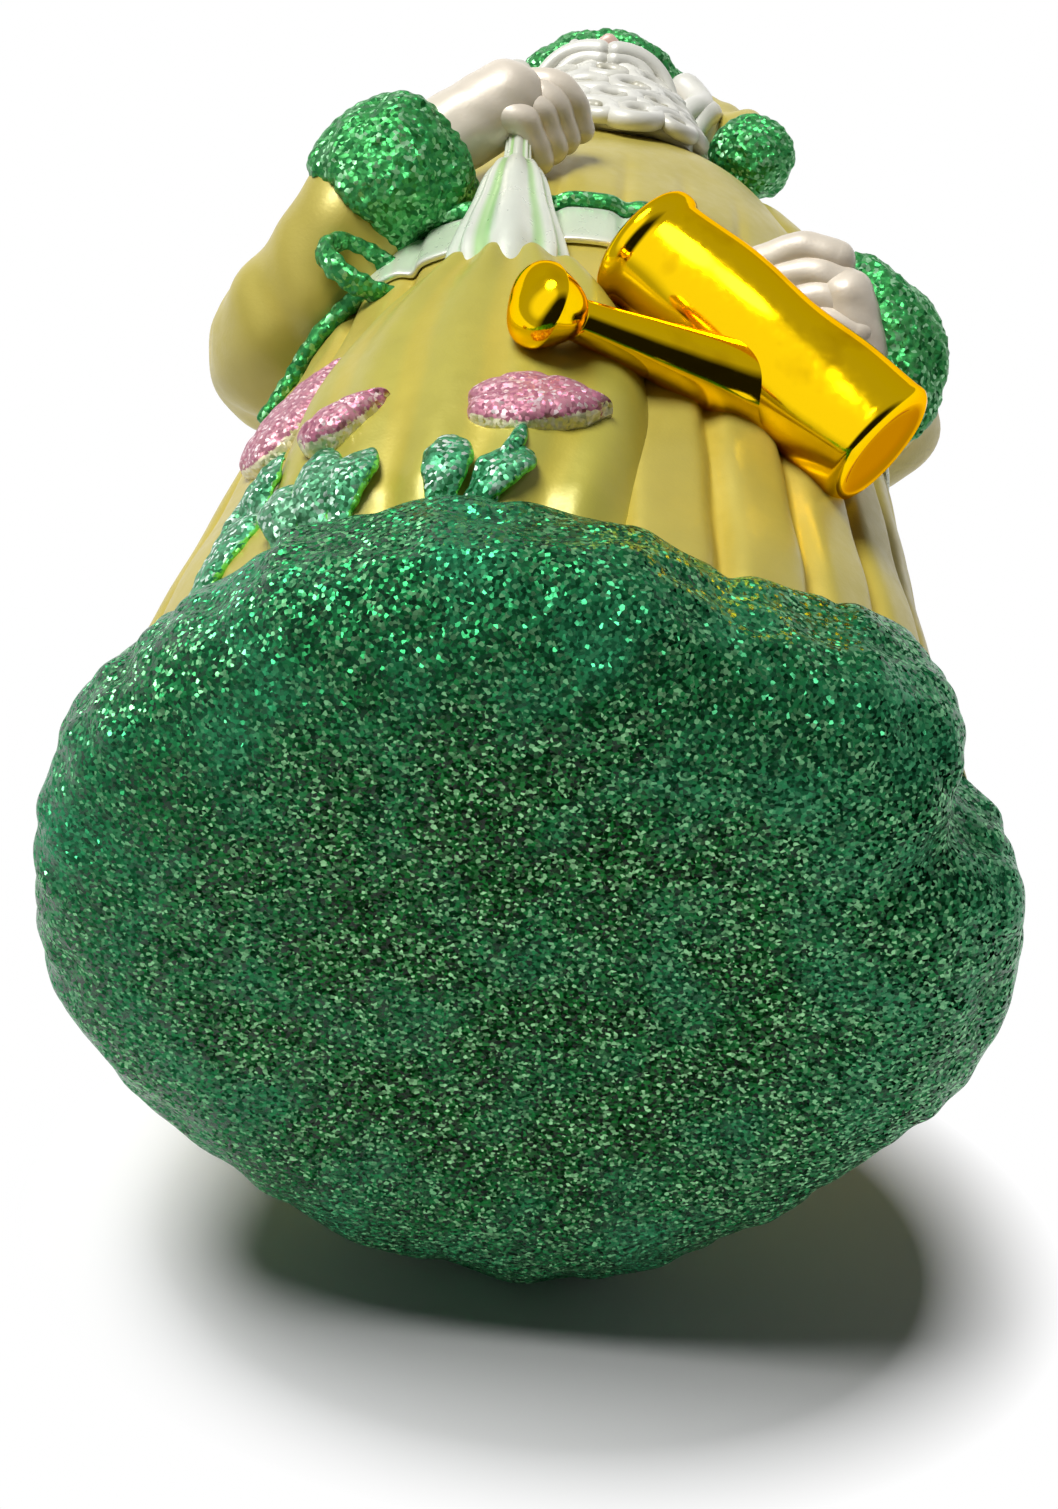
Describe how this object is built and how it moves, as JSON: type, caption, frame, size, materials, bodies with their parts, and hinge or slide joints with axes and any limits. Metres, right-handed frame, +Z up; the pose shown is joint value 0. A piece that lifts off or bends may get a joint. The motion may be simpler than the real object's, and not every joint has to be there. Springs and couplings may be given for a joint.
{
  "type": "santa ornament",
  "caption": "Blown-glass santa figure in a long robe with sack, watering can and flowers on a green glitter mound, with a metal cap and wire loop to hang it by.",
  "frame": {"origin": "centre of the flat foot under the ground mound", "axes": "+Z up through the figure, -Y towards its front, +X towards the figure's own left hand"},
  "size_m": [0.0833, 0.089, 0.1678],
  "materials": {
    "green_glitter": "fine green glitter glued on painted glass",
    "robe_lacquer": "matte champagne pearl lacquer on glass",
    "silver_lacquer": "silver-white pearl lacquer on glass",
    "skin_lacquer": "pale pink-beige pearl lacquer on glass",
    "white_lacquer": "white pearl lacquer on glass",
    "gold_lacquer": "mirror gold lacquer on silvered glass",
    "pink_glitter": "pink glitter on painted glass",
    "leaf_lacquer": "green glitter over clear green lacquer on glass",
    "cap_metal": "thin stamped gold-coloured metal",
    "wire_metal": "gold-coloured spring wire"
  },
  "bodies": {
    "glass figure": {"ground_mound": "green_glitter", "robe": "robe_lacquer", "belt": "silver_lacquer", "sash": "green_glitter", "sack": "robe_lacquer", "sack_neck": "silver_lacquer", "right_sleeve": "robe_lacquer", "left_sleeve": "robe_lacquer", "right_cuff": "green_glitter", "left_cuff": "green_glitter", "right_hand": "skin_lacquer", "left_hand": "skin_lacquer", "head": "skin_lacquer", "hair": "white_lacquer", "beard": "white_lacquer", "moustache": "white_lacquer", "hat_brim": "green_glitter", "hat_crown": "robe_lacquer", "hat_tail": "robe_lacquer", "hat_bobble": "green_glitter", "can_body": "gold_lacquer", "can_spout": "gold_lacquer", "can_rose": "gold_lacquer", "can_handle": "gold_lacquer", "front_flower": "pink_glitter", "side_flower": "pink_glitter", "small_flower": "pink_glitter", "side_leaf": "leaf_lacquer", "middle_leaves": "leaf_lacquer", "front_leaves": "leaf_lacquer", "sash_loop": "green_glitter", "sash_tail": "green_glitter"},
    "metal cap": {"cap": "cap_metal"},
    "wire loop": {"hanging_loop": "wire_metal"}
  },
  "joints": [
    {"name": "cap_pull", "type": "slide", "parent": "glass figure", "child": "metal cap", "axis": [0, 0.2588, 0.9659], "range_m": [0, 0.02]},
    {"name": "loop_rock", "type": "hinge", "parent": "metal cap", "child": "wire loop", "pos_m": [0.0005, -0.00611, 0.15846], "axis": [1, 0, 0], "range_deg": [-15, 15]}
  ]
}
